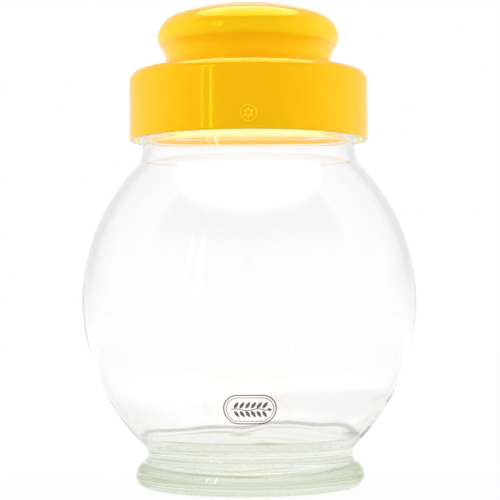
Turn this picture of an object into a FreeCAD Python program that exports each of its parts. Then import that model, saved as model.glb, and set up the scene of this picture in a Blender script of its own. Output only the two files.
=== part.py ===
import FreeCAD, Part
import math
import os
import re

import Sketcher

# A round-bellied glass storage jar with a pressed-on plastic lid that carries a broad knob.
# Millimetres, +Z up. The origin is on the axis, in the plane that the jar stands on.

SIZES = [
    # the foot: a thick disc of solid glass
    ("foot_radius", 45.3, "foot at its widest"),
    ("sole_radius", 14.0, "flat curve from the standing ring out to the heel"),
    ("heel_radius", 4.4, "round of the heel, below the widest line"),
    ("heel_lift", 0.8, "how far the widest line lies above that radius"),
    ("waist_inset", 4.6, "from the foot's widest line in to the waist"),
    ("waist_height", 14.4, "height of the waist, between foot and belly"),
    ("waist_round", 3.9, "radius of the hollow there"),
    ("punt_inset", 11.3, "from the foot's widest line in to the hollow underneath"),
    ("punt_rise", 2.4, "depth of the hollow underneath, at the axis"),
    ("punt_fillet", 1.2, "round where that hollow meets the standing ring"),
    # the belly, and the room inside it
    ("girth_radius", 66.4, "belly at its widest"),
    ("girth_height", 74.6, "height of the belly's widest line"),
    ("wall_girth", 2.3, "glass at the widest line"),
    ("room_drop", 1.9, "how much lower the room is widest, so that the glass thins downward"),
    ("room_inset", 1.5, "from the centre of the belly's lower arc out to the centre of the room's"),
    ("floor_rise", 5.0, "floor of the room, above the waist"),
    ("floor_round", 15.0, "round between the floor and the wall"),
    # the neck and mouth
    ("mouth_height", 163.3, "the rim that the lid rests on"),
    ("mouth_round", 1.2, "rounds of the rim"),
    ("neck_radius", 42.6, "outside of the neck"),
    ("finish_height", 23.3, "from the middle of the bead up to the rim"),
    ("neck_rise", 4.6, "from the foot of the straight neck up to the middle of the bead"),
    ("neck_sweep", 10.0, "hollow between shoulder and neck"),
    ("neck_wall", 3.3, "glass of the neck"),
    ("bead_proud", 1.7, "how far the bead stands out of the neck"),
    ("bead_round", 2.6, "radius of the bead's own section"),
    ("bead_fillet", 0.8, "hollows above and below the bead"),
    # the lid: a hollow moulding, its plate on the rim of the mouth
    ("skirt_gap", 0.5, "clearance of the skirt round the bead"),
    ("skirt_wall", 2.9, "wall of the skirt"),
    ("skirt_depth", 24.7, "skirt below the plate's underside"),
    ("skirt_corner", 1.5, "inside round between skirt and plate"),
    ("rim_round", 0.5, "rounds of the skirt's lower edge"),
    ("plate_wall", 2.8, "wall of the plate"),
    ("shoulder_round", 3.9, "outside round between skirt and plate"),
    ("knob_neck", 32.9, "knob at its narrowest"),
    ("knob_waist", 3.1, "height of that place above the plate"),
    ("knob_proud", 3.5, "how far the knob's widest line stands out from there"),
    ("knob_belly", 13.6, "height of the knob's widest line above the plate"),
    ("knob_under", 5.5, "round below the knob's widest line"),
    ("knob_brow", 9.1, "round above the knob's widest line"),
    ("dome_radius", 89.4, "gentle dome on top of the knob"),
    ("knob_fillet", 0.8, "hollow where the knob meets the plate"),
    ("knob_wall", 2.7, "wall of the knob's neck and dome"),
    ("core_draft", 1.2, "how much narrower the knob's hollow is at its top"),
    ("core_round", 6.0, "round at the top of the knob's hollow"),
    ("core_lip", 1.5, "round at the foot of the knob's hollow"),
    ("plug_gap", 0.3, "clearance of the sealing ring in the mouth"),
    ("plug_wall", 1.6, "wall of the sealing ring"),
    ("plug_depth", 6.0, "depth of the sealing ring below the plate"),
    ("plug_lead", 0.6, "bevel that guides the sealing ring in"),
]
REACH = 2.0  # how far a cutting outline runs past the face that it opens

# Places that several outlines share, as formulas in the words of the sheet.
FOOT_LINE = "heel_radius + heel_lift"
WAIST = "(foot_radius - waist_inset)"
BELLY_ROUND = (
    f"(({WAIST} + waist_round - girth_radius) ^ 2 + (girth_height - waist_height) ^ 2"
    f" - waist_round ^ 2) / (2 * (girth_radius - {WAIST}))"
)
ROOM_LINE = "girth_height - room_drop"
ROOM_ROUND = f"{BELLY_ROUND} - wall_girth - room_inset"
FLOOR = "waist_height + floor_rise"
BEAD_LINE = "mouth_height - finish_height"
NECK_LINE = f"{BEAD_LINE} - neck_rise"
BORE = "neck_radius - neck_wall"
SKIRT_BORE = "neck_radius + bead_proud + skirt_gap"
PLATE = "mouth_height + plate_wall"
KNOB = "(knob_neck + knob_proud)"
KNOB_LINE = f"{PLATE} + knob_belly"
DOME_LINE = f"{KNOB_LINE} - sqrt((dome_radius - knob_brow) ^ 2 - ({KNOB} - knob_brow) ^ 2)"

START, END, CENTRE = 1, 2, 3  # the points of a line or an arc in a sketch
ORIGIN = (-1, 1)
AXIS, GROUND = -2, -1

doc = FreeCAD.newDocument("storage_jar")
sheet = doc.addObject("Spreadsheet::Sheet", "Sizes")
for row, (alias, value, note) in enumerate(SIZES, start=1):
    sheet.set(f"A{row}", alias)
    sheet.set(f"B{row}", str(value))
    sheet.set(f"C{row}", note)
    sheet.setAlias(f"B{row}", alias)
doc.recompute()
size = {alias: float(sheet.get(alias)) for alias, _, _ in SIZES}


def bound(formula):
    """The formula with its words read from the cells of the sheet."""
    return re.sub(r"[a-z_]+", lambda word: f"Sizes.{word[0]}" if word[0] in size else word[0], formula)


def worth(formula):
    """What the formula comes to at present."""
    return float(sheet.evalExpression(bound(formula)))


class Outline:
    """A closed half section in the XZ plane: one chain of lines and arcs, held by constraints."""

    def __init__(self, body, name):
        self.sketch = body.newObject("Sketcher::SketchObject", name)
        planes = {plane.Role: plane for plane in body.Origin.OriginFeatures}
        self.sketch.AttachmentSupport = [(planes["XZ_Plane"], "")]
        self.sketch.MapMode = "FlatFace"

    def line(self, start, end):
        ends = [FreeCAD.Vector(*place, 0) for place in (start, end)]
        return self.sketch.addGeometry(Part.LineSegment(*ends), False)

    def arc(self, centre, radius, low, high):
        """An arc about centre, counter-clockwise from angle low to angle high, in degrees."""
        circle = Part.Circle(FreeCAD.Vector(*centre, 0), FreeCAD.Vector(0, 0, 1), radius)
        turn = [math.radians(angle) for angle in (low, high)]
        return self.sketch.addGeometry(Part.ArcOfCircle(circle, *turn), False)

    def tie(self, kind, *where):
        self.sketch.addConstraint(Sketcher.Constraint(kind, *where))

    def chain(self, kind, *stations):
        """Joins each (element, point) pair to the next one, as Coincident or Tangent."""
        for first, second in zip(stations[::2], stations[1::2]):
            self.tie(kind, *first, *second)

    def measure(self, name, kind, where, formula):
        """A dimension that follows a formula in the words of the sheet."""
        index = self.sketch.addConstraint(Sketcher.Constraint(kind, *where, worth(formula)))
        self.sketch.renameConstraint(index, name)
        self.sketch.setExpression(f"Constraints.{name}", bound(formula))

    def out(self, name, station, formula):
        """How far a point lies from the axis."""
        self.measure(name, "DistanceX", (*ORIGIN, *station), formula)

    def up(self, name, station, formula):
        """How high a point lies."""
        self.measure(name, "DistanceY", (*ORIGIN, *station), formula)

    def bend(self, name, element, formula):
        self.measure(name, "Radius", (element,), formula)

    def ring(self, element, point):
        """The radius and height at which a corner of the outline runs round the body."""
        corner = self.sketch.getPoint(element, point)
        return corner.x, corner.y


def turn(body, kind, name, outline):
    """A Revolution that adds the outline's ring of material, or a Groove that takes it away."""
    before = body.Shape.Volume if body.Tip else 0.0
    doc.recompute()
    if not outline.sketch.FullyConstrained:
        raise RuntimeError(f"{outline.sketch.Name} is not fully constrained")
    feature = body.newObject(f"PartDesign::{kind}", name)
    feature.Profile = outline.sketch
    feature.ReferenceAxis = (outline.sketch, ["V_Axis"])
    feature.Angle = 360
    doc.recompute()
    grown = body.Shape.Volume - before
    if grown * (1 if kind == "Revolution" else -1) <= 0:
        raise RuntimeError(f"{name} changed the volume by {grown:.1f}, the wrong way")


def soften(body, kind, name, formula, *rings):
    """A Fillet or Chamfer along the circular edges that run at the given rings."""
    base = body.Tip
    edges = []
    for radius, height in rings:
        found = [
            f"Edge{number}"
            for number, edge in enumerate(base.Shape.Edges, start=1)
            if not edge.Degenerated
            and isinstance(edge.Curve, Part.Circle)
            and abs(edge.Curve.Radius - radius) < 0.01
            and abs(edge.Curve.Center.z - height) < 0.01
        ]
        if not found:
            raise RuntimeError(f"{name} finds no edge at radius {radius:.2f}, height {height:.2f}")
        edges += found
    feature = body.newObject(f"PartDesign::{kind}", name)
    feature.Base = (base, edges)
    feature.setExpression("Radius" if kind == "Fillet" else "Size", bound(formula))
    doc.recompute()


def tangent_arc(upright, other, radius, side=1):
    """The radius of the arc that stands upright at one place and runs on into another arc.

    The other arc has its centre at other, and its radius counts as negative where the two arcs
    bend the same way. The new arc's centre lies towards the axis, or away from it for side -1.
    """
    across = side * (other[0] - upright[0])
    along = other[1] - upright[1]
    return (across**2 + along**2 - radius**2) / (2 * (radius - across))


def above(centre, far, radius):
    """Where a centre at this radius lies, above another one and far away from it."""
    return centre[1] + math.sqrt(far**2 - (radius - centre[0]) ** 2)


def toward(centre, other):
    """The direction from one centre to another, in degrees."""
    return math.degrees(math.atan2(other[1] - centre[1], other[0] - centre[0]))


def jar_outside(body):
    """The outer form of the jar, as if it were solid glass."""
    foot = (size["foot_radius"], worth(FOOT_LINE))
    girth = (size["girth_radius"], size["girth_height"])
    neck_out = size["neck_radius"]
    rim = size["mouth_height"]
    heel_at = (foot[0] - size["heel_radius"], foot[1])
    sole_far = size["sole_radius"] - size["heel_radius"]
    sole_in = math.sqrt(sole_far**2 - (size["sole_radius"] - foot[1]) ** 2)
    sole_at = (heel_at[0] - sole_in, size["sole_radius"])
    waist_at = (worth(WAIST) + size["waist_round"], size["waist_height"])
    brow_radius = tangent_arc(foot, waist_at, size["waist_round"])
    brow_at = (foot[0] - brow_radius, foot[1])
    low_radius = worth(BELLY_ROUND)
    low_at = (girth[0] - low_radius, girth[1])
    sweep_at = (neck_out + size["neck_sweep"], worth(NECK_LINE))
    high_radius = tangent_arc(girth, sweep_at, size["neck_sweep"])
    high_at = (girth[0] - high_radius, girth[1])
    bead_at = (neck_out + size["bead_proud"] - size["bead_round"], worth(BEAD_LINE))
    hollow_out = neck_out + size["bead_fillet"]
    head_at = (hollow_out, above(bead_at, size["bead_round"] + size["bead_fillet"], hollow_out))
    foot_at = (hollow_out, 2 * bead_at[1] - head_at[1])
    lift = toward(bead_at, head_at)

    o = Outline(body, "jar_outside")
    stand = o.line((0, 0), (sole_at[0], 0))
    sole = o.arc(sole_at, size["sole_radius"], -90, toward(sole_at, heel_at))
    heel = o.arc(heel_at, size["heel_radius"], toward(sole_at, heel_at), 0)
    brow = o.arc(brow_at, brow_radius, 0, toward(brow_at, waist_at))
    waist_turn = (toward(waist_at, low_at), 180 + toward(brow_at, waist_at))
    waist = o.arc(waist_at, size["waist_round"], *waist_turn)
    low = o.arc(low_at, low_radius, toward(low_at, waist_at), 0)
    high = o.arc(high_at, high_radius, 0, toward(high_at, sweep_at))
    sweep = o.arc(sweep_at, size["neck_sweep"], 180, 180 + toward(high_at, sweep_at))
    neck = o.line((neck_out, sweep_at[1]), (neck_out, foot_at[1]))
    bead_foot = o.arc(foot_at, size["bead_fillet"], 180 - lift, 180)
    bead = o.arc(bead_at, size["bead_round"], -lift, lift)
    bead_head = o.arc(head_at, size["bead_fillet"], 180, 180 + lift)
    finish = o.line((neck_out, head_at[1]), (neck_out, rim))
    mouth = o.line((neck_out, rim), (0, rim))
    spine = o.line((0, rim), (0, 0))

    o.tie("Coincident", stand, START, *ORIGIN)
    o.chain("Tangent", (stand, END), (sole, START), (sole, END), (heel, START))
    o.chain("Tangent", (heel, END), (brow, START), (brow, END), (waist, END))
    o.chain("Tangent", (waist, START), (low, START), (low, END), (high, START))
    o.chain("Tangent", (high, END), (sweep, END), (sweep, START), (neck, START))
    o.chain("Tangent", (neck, END), (bead_foot, END), (bead_foot, START), (bead, START))
    o.chain("Tangent", (bead, END), (bead_head, END), (bead_head, START), (finish, START))
    o.chain("Coincident", (finish, END), (mouth, START), (mouth, END), (spine, START))
    o.chain("Coincident", (spine, END), (stand, START))
    for level in (stand, mouth):
        o.tie("Horizontal", level)
    for upright in (neck, finish, spine):
        o.tie("Vertical", upright)
    o.bend("sole", sole, "sole_radius")
    o.bend("heel", heel, "heel_radius")
    o.bend("waist", waist, "waist_round")
    o.bend("sweep", sweep, "neck_sweep")
    o.bend("bead", bead, "bead_round")
    o.bend("bead_foot", bead_foot, "bead_fillet")
    o.bend("bead_head", bead_head, "bead_fillet")
    o.out("foot", (heel, END), "foot_radius")
    o.up("foot_line", (heel, END), FOOT_LINE)
    o.up("heel_centre", (heel, CENTRE), FOOT_LINE)
    o.out("waist_centre", (waist, CENTRE), f"{WAIST} + waist_round")
    o.up("waist_line", (waist, CENTRE), "waist_height")
    o.out("girth", (low, END), "girth_radius")
    o.up("girth_line", (low, END), "girth_height")
    o.up("low_centre", (low, CENTRE), "girth_height")
    o.out("neck", (neck, END), "neck_radius")
    o.up("neck_line", (sweep, CENTRE), NECK_LINE)
    o.out("finish", (finish, START), "neck_radius")
    o.out("bead_centre", (bead, CENTRE), "neck_radius + bead_proud - bead_round")
    o.up("bead_line", (bead, CENTRE), BEAD_LINE)
    o.up("mouth", (mouth, END), "mouth_height")
    turn(body, "Revolution", "jar_form", o)


def jar_inside(body):
    """The room inside the jar: a belly that narrows into the bore of the neck."""
    girth = (size["girth_radius"] - size["wall_girth"], worth(ROOM_LINE))
    bore = worth(BORE)
    top = size["mouth_height"] + REACH
    floor_height = worth(FLOOR)
    low_radius = worth(ROOM_ROUND)
    low_at = (girth[0] - low_radius, girth[1])
    corner_height = floor_height + size["floor_round"]
    corner_far = low_radius - size["floor_round"]
    corner_out = math.sqrt(corner_far**2 - (corner_height - low_at[1]) ** 2)
    corner_at = (low_at[0] + corner_out, corner_height)
    sweep_radius = size["neck_sweep"] + size["neck_wall"]
    sweep_at = (bore + sweep_radius, worth(NECK_LINE))
    high_radius = tangent_arc(girth, sweep_at, sweep_radius)
    high_at = (girth[0] - high_radius, girth[1])

    o = Outline(body, "jar_inside")
    floor = o.line((0, floor_height), (corner_at[0], floor_height))
    corner = o.arc(corner_at, size["floor_round"], -90, toward(low_at, corner_at))
    low = o.arc(low_at, low_radius, toward(low_at, corner_at), 0)
    high = o.arc(high_at, high_radius, 0, toward(high_at, sweep_at))
    sweep = o.arc(sweep_at, sweep_radius, 180, 180 + toward(high_at, sweep_at))
    throat = o.line((bore, sweep_at[1]), (bore, top))
    cover = o.line((bore, top), (0, top))
    spine = o.line((0, top), (0, floor_height))

    o.chain("Tangent", (floor, END), (corner, START), (corner, END), (low, START))
    o.chain("Tangent", (low, END), (high, START), (high, END), (sweep, END))
    o.chain("Tangent", (sweep, START), (throat, START))
    o.chain("Coincident", (throat, END), (cover, START), (cover, END), (spine, START))
    o.chain("Coincident", (spine, END), (floor, START))
    o.tie("PointOnObject", spine, START, AXIS)
    for level in (floor, cover):
        o.tie("Horizontal", level)
    for upright in (throat, spine):
        o.tie("Vertical", upright)
    o.bend("corner", corner, "floor_round")
    o.bend("sweep", sweep, "neck_sweep + neck_wall")
    o.up("floor", (floor, START), FLOOR)
    o.bend("low", low, ROOM_ROUND)
    o.out("girth", (low, END), "girth_radius - wall_girth")
    o.up("girth_line", (low, END), ROOM_LINE)
    o.up("low_centre", (low, CENTRE), ROOM_LINE)
    o.up("neck_line", (sweep, CENTRE), NECK_LINE)
    o.out("bore", (throat, END), BORE)
    o.up("cover", (cover, END), f"mouth_height + {REACH}")
    turn(body, "Groove", "jar_room", o)
    rim = size["mouth_height"]
    soften(body, "Fillet", "mouth_edges", "mouth_round", (bore, rim), (size["neck_radius"], rim))


def jar_punt(body):
    """The shallow hollow under the foot, which leaves a ring for the jar to stand on."""
    half = size["foot_radius"] - size["punt_inset"]
    rise = size["punt_rise"]
    dome = (half**2 + rise**2) / (2 * rise)
    dome_at = (0, rise - dome)

    o = Outline(body, "jar_punt")
    hollow = o.arc(dome_at, dome, toward(dome_at, (half, 0)), 90)
    wall = o.line((half, 0), (half, -REACH))
    under = o.line((half, -REACH), (0, -REACH))
    spine = o.line((0, -REACH), (0, rise))

    o.chain("Coincident", (hollow, START), (wall, START), (wall, END), (under, START))
    o.chain("Coincident", (under, END), (spine, START), (spine, END), (hollow, END))
    o.tie("PointOnObject", hollow, CENTRE, AXIS)
    o.tie("PointOnObject", hollow, END, AXIS)
    o.tie("PointOnObject", hollow, START, GROUND)
    o.tie("Vertical", wall)
    o.tie("Horizontal", under)
    o.tie("Vertical", spine)
    o.out("punt", (hollow, START), "foot_radius - punt_inset")
    o.up("rise", (hollow, END), "punt_rise")
    o.up("under", (under, END), f"{-REACH}")
    turn(body, "Groove", "punt", o)
    soften(body, "Fillet", "standing_ring", "punt_fillet", (half, 0))


def lid_outside(body):
    """The outer form of the lid: skirt, plate, waisted knob and dome."""
    low = size["mouth_height"] - size["skirt_depth"]
    plate = worth(PLATE)
    skirt_out = worth(SKIRT_BORE) + size["skirt_wall"]
    under_at = (worth(KNOB) - size["knob_under"], worth(KNOB_LINE))
    narrow = (size["knob_neck"], plate + size["knob_waist"])
    flare_radius = tangent_arc(narrow, under_at, size["knob_under"], side=-1)
    flare_at = (narrow[0] + flare_radius, narrow[1])
    brow_at = (worth(KNOB) - size["knob_brow"], worth(KNOB_LINE))
    dome_at = (0, worth(DOME_LINE))
    down = toward(under_at, flare_at)

    o = Outline(body, "lid_outside")
    edge = o.line((0, low), (skirt_out, low))
    skirt = o.line((skirt_out, low), (skirt_out, plate))
    top = o.line((skirt_out, plate), (narrow[0], plate))
    neck = o.line((narrow[0], plate), narrow)
    flare = o.arc(flare_at, flare_radius, 180 + down, 180)
    under = o.arc(under_at, size["knob_under"], down, 0)
    brow = o.arc(brow_at, size["knob_brow"], 0, toward(dome_at, brow_at))
    dome = o.arc(dome_at, size["dome_radius"], toward(dome_at, brow_at), 90)
    spine = o.line((0, dome_at[1] + size["dome_radius"]), (0, low))

    o.chain("Coincident", (edge, END), (skirt, START), (skirt, END), (top, START))
    o.chain("Coincident", (top, END), (neck, START))
    o.chain("Tangent", (neck, END), (flare, END), (flare, START), (under, START))
    o.chain("Tangent", (under, END), (brow, START), (brow, END), (dome, START))
    o.chain("Coincident", (dome, END), (spine, START), (spine, END), (edge, START))
    o.tie("PointOnObject", dome, CENTRE, AXIS)
    o.tie("PointOnObject", dome, END, AXIS)
    o.tie("PointOnObject", edge, START, AXIS)
    for level in (edge, top):
        o.tie("Horizontal", level)
    for upright in (skirt, neck):
        o.tie("Vertical", upright)
    o.bend("under", under, "knob_under")
    o.bend("brow", brow, "knob_brow")
    o.bend("dome", dome, "dome_radius")
    o.up("edge", (edge, START), "mouth_height - skirt_depth")
    o.out("skirt", (skirt, START), f"{SKIRT_BORE} + skirt_wall")
    o.up("plate", (top, START), PLATE)
    o.out("neck", (neck, START), "knob_neck")
    o.up("neck_line", (neck, END), f"{PLATE} + knob_waist")
    o.out("knob", (under, END), KNOB)
    o.up("knob_line", (under, END), KNOB_LINE)
    o.up("knob_centre", (under, CENTRE), KNOB_LINE)
    turn(body, "Revolution", "lid_form", o)
    soften(body, "Fillet", "shoulder", "shoulder_round", (skirt_out, plate))
    soften(body, "Fillet", "knob_foot", "knob_fillet", (narrow[0], plate))


def lid_inside(body):
    """The hollow of the lid: the bore of the skirt and the drafted core of the knob."""
    seat = size["mouth_height"]
    edge = seat - size["skirt_depth"]
    bore = worth(SKIRT_BORE)
    foot = size["knob_neck"] - size["knob_wall"]
    head = foot - size["core_draft"]
    roof_radius = size["dome_radius"] - size["knob_wall"]
    roof_at = (0, worth(DOME_LINE))
    brow_out = head - size["core_round"]
    brow_at = (brow_out, above(roof_at, roof_radius - size["core_round"], brow_out))
    lean = toward((foot, seat), (head, brow_at[1])) - 90

    o = Outline(body, "lid_inside")
    under = o.line((0, edge - REACH), (bore, edge - REACH))
    skirt = o.line((bore, edge - REACH), (bore, seat))
    plate = o.line((bore, seat), (foot, seat))
    core = o.line((foot, seat), (head, brow_at[1]))
    brow = o.arc(brow_at, size["core_round"], lean, toward(roof_at, brow_at))
    roof = o.arc(roof_at, roof_radius, toward(roof_at, brow_at), 90)
    spine = o.line((0, roof_at[1] + roof_radius), (0, edge - REACH))

    o.chain("Coincident", (under, END), (skirt, START), (skirt, END), (plate, START))
    o.chain("Coincident", (plate, END), (core, START))
    o.chain("Tangent", (core, END), (brow, START), (brow, END), (roof, START))
    o.chain("Coincident", (roof, END), (spine, START), (spine, END), (under, START))
    o.tie("PointOnObject", roof, CENTRE, AXIS)
    o.tie("PointOnObject", roof, END, AXIS)
    o.tie("PointOnObject", under, START, AXIS)
    for level in (under, plate):
        o.tie("Horizontal", level)
    o.tie("Vertical", skirt)
    o.bend("brow", brow, "core_round")
    o.bend("roof", roof, "dome_radius - knob_wall")
    o.up("under", (under, START), f"mouth_height - skirt_depth - {REACH}")
    o.out("bore", (skirt, START), SKIRT_BORE)
    o.up("seat", (plate, START), "mouth_height")
    o.out("core_foot", (core, START), "knob_neck - knob_wall")
    o.out("core_head", (core, END), "knob_neck - knob_wall - core_draft")
    o.up("roof_centre", (roof, CENTRE), DOME_LINE)
    turn(body, "Groove", "lid_room", o)
    soften(body, "Fillet", "skirt_corner", "skirt_corner", (bore, seat))
    soften(body, "Fillet", "core_lip", "core_lip", (foot, seat))
    skirt_out = bore + size["skirt_wall"]
    soften(body, "Fillet", "skirt_rim", "rim_round", (bore, edge), (skirt_out, edge))


def lid_plug(body):
    """The thin ring that hangs from the plate into the mouth and seals it."""
    outer = worth(BORE) - size["plug_gap"]
    inner = outer - size["plug_wall"]
    low = size["mouth_height"] - size["plug_depth"]
    high = size["mouth_height"] + size["plate_wall"] / 2

    o = Outline(body, "lid_plug")
    corners = [(inner, low), (outer, low), (outer, high), (inner, high)]
    sides = [o.line(*ends) for ends in zip(corners, corners[1:] + corners[:1])]
    for side, following in zip(sides, sides[1:] + sides[:1]):
        o.chain("Coincident", (side, END), (following, START))
    for number, side in enumerate(sides):
        o.tie("Vertical" if number % 2 else "Horizontal", side)
    o.out("inner", (sides[0], START), f"{BORE} - plug_gap - plug_wall")
    o.out("outer", (sides[0], END), f"{BORE} - plug_gap")
    o.up("low", (sides[0], START), "mouth_height - plug_depth")
    o.up("high", (sides[2], START), "mouth_height + plate_wall / 2")
    turn(body, "Revolution", "plug", o)
    soften(body, "Chamfer", "plug_edge", "plug_lead", (outer, low))


def new_part(name):
    body = doc.addObject("PartDesign::Body", name)
    body.Label = name
    body.Placement = FreeCAD.Placement()
    doc.recompute()
    return body


glass_jar = new_part("glass_jar")
jar_outside(glass_jar)
jar_inside(glass_jar)
jar_punt(glass_jar)

lid = new_part("lid")
lid_outside(lid)
lid_inside(lid)
lid_plug(lid)

doc.recompute()
for item in doc.Objects:
    if {"Invalid", "Error"} & set(item.State):
        raise RuntimeError(f"{item.Name} failed: {item.State}")
os.makedirs("parts", exist_ok=True)
for part in (glass_jar, lid):
    shape = part.Shape
    if shape.isNull() or not shape.isValid() or len(shape.Solids) != 1:
        raise RuntimeError(f"{part.Label} is not one valid solid")
    shape.exportStep(f"parts/{part.Label}.step")
    box = shape.BoundBox
    print(f"{part.Label}: {shape.Volume / 1000:.1f} cm3, z {box.ZMin:.2f} to {box.ZMax:.2f}")
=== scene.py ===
import math

import bpy
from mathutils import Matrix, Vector, noise


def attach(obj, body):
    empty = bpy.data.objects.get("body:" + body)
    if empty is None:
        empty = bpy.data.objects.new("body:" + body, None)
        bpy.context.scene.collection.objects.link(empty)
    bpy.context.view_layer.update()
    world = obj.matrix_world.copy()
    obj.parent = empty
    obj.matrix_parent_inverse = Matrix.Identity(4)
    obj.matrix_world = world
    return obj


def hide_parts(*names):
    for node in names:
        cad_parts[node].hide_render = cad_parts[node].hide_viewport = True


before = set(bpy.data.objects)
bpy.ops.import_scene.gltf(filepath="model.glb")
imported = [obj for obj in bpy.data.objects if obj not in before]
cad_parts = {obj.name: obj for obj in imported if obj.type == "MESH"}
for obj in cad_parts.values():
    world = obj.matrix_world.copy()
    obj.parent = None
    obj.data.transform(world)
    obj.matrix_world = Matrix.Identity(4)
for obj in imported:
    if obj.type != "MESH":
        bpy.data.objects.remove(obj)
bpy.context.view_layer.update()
mm = 0.001
tiny = 1e-4  # in millimetres; points closer than this are one
print("frame loaded:", ", ".join(sorted(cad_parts)))


# turning a half section into a mesh

def arcPoints(centre, radius, fromAngle, toAngle, step):
    # points along an arc, both ends included; angles in degrees, counter-clockwise from outward
    sweep = math.radians(toAngle - fromAngle)
    count = max(3, math.ceil(abs(sweep) * radius / step))
    turns = [math.radians(fromAngle) + sweep * i / count for i in range(count + 1)]
    return [(centre[0] + radius * math.cos(t), centre[1] + radius * math.sin(t)) for t in turns]


def linePoints(start, end, step):
    count = max(1, math.ceil(math.dist(start, end) / step))
    return [
        tuple(a + (b - a) * i / count for a, b in zip(start, end))
        for i in range(count + 1)
    ]


def joinRuns(*runs):
    # one list of points, without the points that two runs share
    points = []
    for run in runs:
        for point in run:
            if not points or math.dist(points[-1], point) > tiny:
                points.append(point)
    return points


def headingTo(centre, other):
    return math.degrees(math.atan2(other[1] - centre[1], other[0] - centre[0]))


def tangentRadius(upright, other, radius, side=1):
    # radius of the arc that stands upright at one place and runs on into an arc about "other"
    across = side * (other[0] - upright[0])
    along = other[1] - upright[1]
    return (across**2 + along**2 - radius**2) / (2 * (radius - across))


def turnProfile(name, profile, turns, shape=None):
    # revolves points (radius, height) in millimetres about Z; a point on the axis closes with a fan
    # shape(radius, angle, height, index) may shift a point, for what isn't perfectly round
    vertices, rings = [], []
    for index, (radius, height) in enumerate(profile):
        count = 1 if radius < tiny else turns
        ring = []
        for i in range(count):
            angle = 2 * math.pi * i / turns
            r, z = shape(radius, angle, height, index) if shape else (radius, height)
            ring.append(len(vertices))
            vertices.append((r * math.cos(angle) * mm, r * math.sin(angle) * mm, z * mm))
        rings.append(ring)
    faces = []
    for low, high in zip(rings, rings[1:]):
        for i in range(turns):
            j = (i + 1) % turns
            if len(low) == 1:
                faces.append((low[0], high[j], high[i]))
            elif len(high) == 1:
                faces.append((low[i], low[j], high[0]))
            else:
                faces.append((low[i], low[j], high[j], high[i]))
    mesh = bpy.data.meshes.new(name)
    mesh.from_pydata(vertices, [], faces)
    mesh.validate()
    for polygon in mesh.polygons:
        polygon.use_smooth = True
    piece = bpy.data.objects.new(name, mesh)
    bpy.context.scene.collection.objects.link(piece)
    return piece


# node helpers and the groups that the materials share

class NodeBench:
    # adds nodes to a tree in a readable way
    def __init__(self, tree):
        self.tree = tree

    def add(self, kind, inputs=None, **settings):
        node = self.tree.nodes.new(kind)
        for key, value in settings.items():
            setattr(node, key, value)
        for key, value in (inputs or {}).items():
            if isinstance(value, bpy.types.NodeSocket):
                self.tree.links.new(value, node.inputs[key])
            else:
                node.inputs[key].default_value = value
        return node

    def maths(self, operation, *values):
        return self.add("ShaderNodeMath", dict(enumerate(values)), operation=operation).outputs[0]

    def band(self, value, low, high, fromValue=0.0, toValue=1.0):
        # smooth change from fromValue to toValue while value goes from low to high
        return self.add(
            "ShaderNodeMapRange",
            {"Value": value, "From Min": low, "From Max": high, "To Min": fromValue, "To Max": toValue},
            interpolation_type="SMOOTHSTEP",
        ).outputs["Result"]

    def between(self, value, low, high, soft):
        # 1 from low to high, with soft edges, and 0 elsewhere
        return self.maths(
            "MULTIPLY",
            self.band(value, low - soft, low + soft),
            self.band(value, high - soft, high + soft, 1.0, 0.0),
        )

    def blend(self, base, mask, level):
        # goes from base to level as the mask goes from 0 to 1
        change = self.maths("MULTIPLY", mask, self.maths("SUBTRACT", level, base))
        return self.maths("ADD", base, change)

    def mixColours(self, mask, first, second):
        # a colour from first to second; each is a plain (r, g, b) or a socket
        node = self.add("ShaderNodeMix", {"Factor": mask}, data_type="RGBA")
        for socket, colour in ((node.inputs[6], first), (node.inputs[7], second)):
            if isinstance(colour, bpy.types.NodeSocket):
                self.tree.links.new(colour, socket)
            else:
                socket.default_value = (*colour, 1.0)
        return node.outputs[2]


def newGroup(name, inputs, outputs):
    group = bpy.data.node_groups.new(name, "ShaderNodeTree")
    for title, kind, value in inputs:
        socket = group.interface.new_socket(title, in_out="INPUT", socket_type=kind)
        socket.default_value = value
    for title, kind in outputs:
        group.interface.new_socket(title, in_out="OUTPUT", socket_type=kind)
    bench = NodeBench(group)
    return group, bench, bench.add("NodeGroupInput"), bench.add("NodeGroupOutput")


handlingLook = {
    "stretch": (1.0, 1.0, 2.6), "turn": (0.3, 0.2, 0.0),
    "detail": 5.0, "roughness": 0.62, "distortion": 0.6, "wipesFrom": 0.5, "wipesTo": 0.75,
    "patchScale": 18.0, "patchDetail": 2.0, "patchFrom": 0.42, "patchTo": 0.62,
}


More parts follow.
